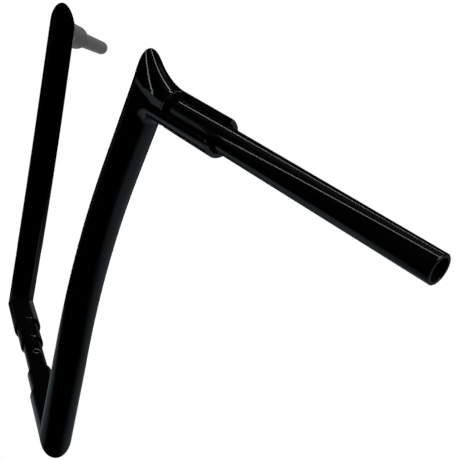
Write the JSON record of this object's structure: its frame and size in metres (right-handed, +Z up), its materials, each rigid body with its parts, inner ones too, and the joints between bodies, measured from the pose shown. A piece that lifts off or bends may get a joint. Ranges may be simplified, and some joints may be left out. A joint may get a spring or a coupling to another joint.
{
  "type": "motorcycle handlebar",
  "caption": "Tall welded motorcycle handlebar of stepped round tube, with bent uprights, pointed tops, cut-away sleeves and swept-back grip tubes.",
  "frame": {"origin": "middle of the clamped centre tube, on its axis", "axes": "+X along the crossbar to the rider's right, +Y forward, +Z up along the uprights' feet"},
  "size_m": [1.139, 0.1734, 0.4884],
  "materials": {
    "gloss_black": "gloss powder coat"
  },
  "bodies": {
    "root": {"centre_tube": "gloss_black", "step_sleeve_left": "gloss_black", "step_sleeve_right": "gloss_black", "lower_tube_left": "gloss_black", "lower_tube_right": "gloss_black", "upright_left": "gloss_black", "upright_right": "gloss_black", "grip_sleeve_left": "gloss_black", "grip_sleeve_right": "gloss_black", "grip_tube_left": "gloss_black", "grip_tube_right": "gloss_black"}
  },
  "joints": []
}
